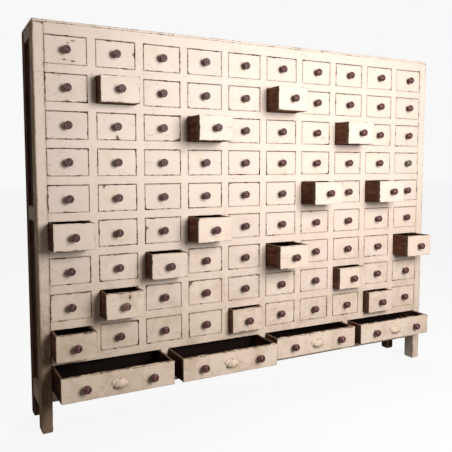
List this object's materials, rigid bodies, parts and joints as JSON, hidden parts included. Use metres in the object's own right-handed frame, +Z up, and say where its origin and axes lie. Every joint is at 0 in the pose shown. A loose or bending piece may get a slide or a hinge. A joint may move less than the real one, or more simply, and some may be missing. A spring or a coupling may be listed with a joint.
{
  "type": "apothecary cabinet",
  "caption": "Shallow free-standing cabinet on post legs, with a grid of small knobbed drawers over a row of wide drawers with knobs and cup pulls.",
  "frame": {"origin": "on the floor, under the middle of the bounding box at rest, open drawers and knobs included", "axes": "+Z up; -Y is the front, the way the drawers come out; +X to the right seen from the front"},
  "size_m": [2.1546, 0.429, 1.69],
  "materials": {
    "cream_paint": "worn cream paint on wood",
    "side_paint": "thin greyish paint on old wood",
    "worn_leg": "paint worn to brown wood",
    "pale_leg": "dirty cream paint on wood",
    "dark_wood": "bare dark wood, matt",
    "knob_wood": "turned wood, dark plum varnish",
    "cup_paint": "painted over in cream"
  },
  "bodies": {
    "case": {"post_front_left": "worn_leg", "post_front_right": "pale_leg", "post_back_left": "dark_wood", "post_back_right": "dark_wood", "top_board": "cream_paint", "top_rail": "cream_paint", "bottom_rail": "cream_paint", "face_frame": "cream_paint", "back_board": "dark_wood", "side_frame_left": "side_paint", "side_frame_right": "side_paint", "drawers_closed": "cream_paint"},
    "drawer_r2_c2": {"drawer_r2_c2": "cream_paint", "knob_r2_c2": "knob_wood"},
    "drawer_r2_c6": {"drawer_r2_c6": "cream_paint", "knob_r2_c6": "knob_wood"},
    "drawer_r3_c4": {"drawer_r3_c4": "cream_paint", "knob_r3_c4": "knob_wood"},
    "drawer_r3_c8": {"drawer_r3_c8": "cream_paint", "knob_r3_c8": "knob_wood"},
    "drawer_r5_c7": {"drawer_r5_c7": "cream_paint", "knob_r5_c7": "knob_wood"},
    "drawer_r5_c9": {"drawer_r5_c9": "cream_paint", "knob_r5_c9": "knob_wood"},
    "drawer_r6_c1": {"drawer_r6_c1": "cream_paint", "knob_r6_c1": "knob_wood"},
    "drawer_r6_c4": {"drawer_r6_c4": "cream_paint", "knob_r6_c4": "knob_wood"},
    "drawer_r7_c3": {"drawer_r7_c3": "cream_paint", "knob_r7_c3": "knob_wood"},
    "drawer_r7_c6": {"drawer_r7_c6": "cream_paint", "knob_r7_c6": "knob_wood"},
    "drawer_r7_c10": {"drawer_r7_c10": "cream_paint", "knob_r7_c10": "knob_wood"},
    "drawer_r8_c2": {"drawer_r8_c2": "cream_paint", "knob_r8_c2": "knob_wood"},
    "drawer_r8_c8": {"drawer_r8_c8": "cream_paint", "knob_r8_c8": "knob_wood"},
    "drawer_r9_c1": {"drawer_r9_c1": "cream_paint", "knob_r9_c1": "knob_wood"},
    "drawer_r9_c5": {"drawer_r9_c5": "cream_paint", "knob_r9_c5": "knob_wood"},
    "drawer_r9_c9": {"drawer_r9_c9": "cream_paint", "knob_r9_c9": "knob_wood"},
    "wide_drawer_1": {"wide_drawer_1": "cream_paint", "wide_knob_1_left": "knob_wood", "wide_knob_1_right": "knob_wood", "cup_pull_1": "cup_paint"},
    "wide_drawer_2": {"wide_drawer_2": "cream_paint", "wide_knob_2_left": "knob_wood", "wide_knob_2_right": "knob_wood", "cup_pull_2": "cup_paint"},
    "wide_drawer_3": {"wide_drawer_3": "cream_paint", "wide_knob_3_left": "knob_wood", "wide_knob_3_right": "knob_wood", "cup_pull_3": "cup_paint"},
    "wide_drawer_4": {"wide_drawer_4": "cream_paint", "wide_knob_4_left": "knob_wood", "wide_knob_4_right": "knob_wood", "cup_pull_4": "cup_paint"}
  },
  "joints": [
    {"name": "slide_r2_c2", "type": "slide", "parent": "case", "child": "drawer_r2_c2", "axis": [0, -1, 0], "range_m": [-0.06, 0.09]},
    {"name": "slide_r2_c6", "type": "slide", "parent": "case", "child": "drawer_r2_c6", "axis": [0, -1, 0], "range_m": [-0.1, 0.05]},
    {"name": "slide_r3_c4", "type": "slide", "parent": "case", "child": "drawer_r3_c4", "axis": [0, -1, 0], "range_m": [-0.114, 0.036]},
    {"name": "slide_r3_c8", "type": "slide", "parent": "case", "child": "drawer_r3_c8", "axis": [0, -1, 0], "range_m": [-0.1, 0.05]},
    {"name": "slide_r5_c7", "type": "slide", "parent": "case", "child": "drawer_r5_c7", "axis": [0, -1, 0], "range_m": [-0.11, 0.04]},
    {"name": "slide_r5_c9", "type": "slide", "parent": "case", "child": "drawer_r5_c9", "axis": [0, -1, 0], "range_m": [-0.106, 0.044]},
    {"name": "slide_r6_c1", "type": "slide", "parent": "case", "child": "drawer_r6_c1", "axis": [0, -1, 0], "range_m": [-0.085, 0.065]},
    {"name": "slide_r6_c4", "type": "slide", "parent": "case", "child": "drawer_r6_c4", "axis": [0, -1, 0], "range_m": [-0.1, 0.05]},
    {"name": "slide_r7_c3", "type": "slide", "parent": "case", "child": "drawer_r7_c3", "axis": [0, -1, 0], "range_m": [-0.074, 0.076]},
    {"name": "slide_r7_c6", "type": "slide", "parent": "case", "child": "drawer_r7_c6", "axis": [0, -1, 0], "range_m": [-0.121, 0.029]},
    {"name": "slide_r7_c10", "type": "slide", "parent": "case", "child": "drawer_r7_c10", "axis": [0, -1, 0], "range_m": [-0.105, 0.045]},
    {"name": "slide_r8_c2", "type": "slide", "parent": "case", "child": "drawer_r8_c2", "axis": [0, -1, 0], "range_m": [-0.085, 0.065]},
    {"name": "slide_r8_c8", "type": "slide", "parent": "case", "child": "drawer_r8_c8", "axis": [0, -1, 0], "range_m": [-0.053, 0.097]},
    {"name": "slide_r9_c1", "type": "slide", "parent": "case", "child": "drawer_r9_c1", "axis": [0, -1, 0], "range_m": [-0.085, 0.065]},
    {"name": "slide_r9_c5", "type": "slide", "parent": "case", "child": "drawer_r9_c5", "axis": [0, -1, 0], "range_m": [-0.04, 0.11]},
    {"name": "slide_r9_c9", "type": "slide", "parent": "case", "child": "drawer_r9_c9", "axis": [0, -1, 0], "range_m": [-0.044, 0.106]},
    {"name": "slide_wide_1", "type": "slide", "parent": "case", "child": "wide_drawer_1", "axis": [0, -1, 0], "range_m": [-0.16, 0.015]},
    {"name": "slide_wide_2", "type": "slide", "parent": "case", "child": "wide_drawer_2", "axis": [0, -1, 0], "range_m": [-0.16, 0.015]},
    {"name": "slide_wide_3", "type": "slide", "parent": "case", "child": "wide_drawer_3", "axis": [0, -1, 0], "range_m": [-0.1, 0.075]},
    {"name": "slide_wide_4", "type": "slide", "parent": "case", "child": "wide_drawer_4", "axis": [0, -1, 0], "range_m": [-0.1, 0.075]}
  ]
}
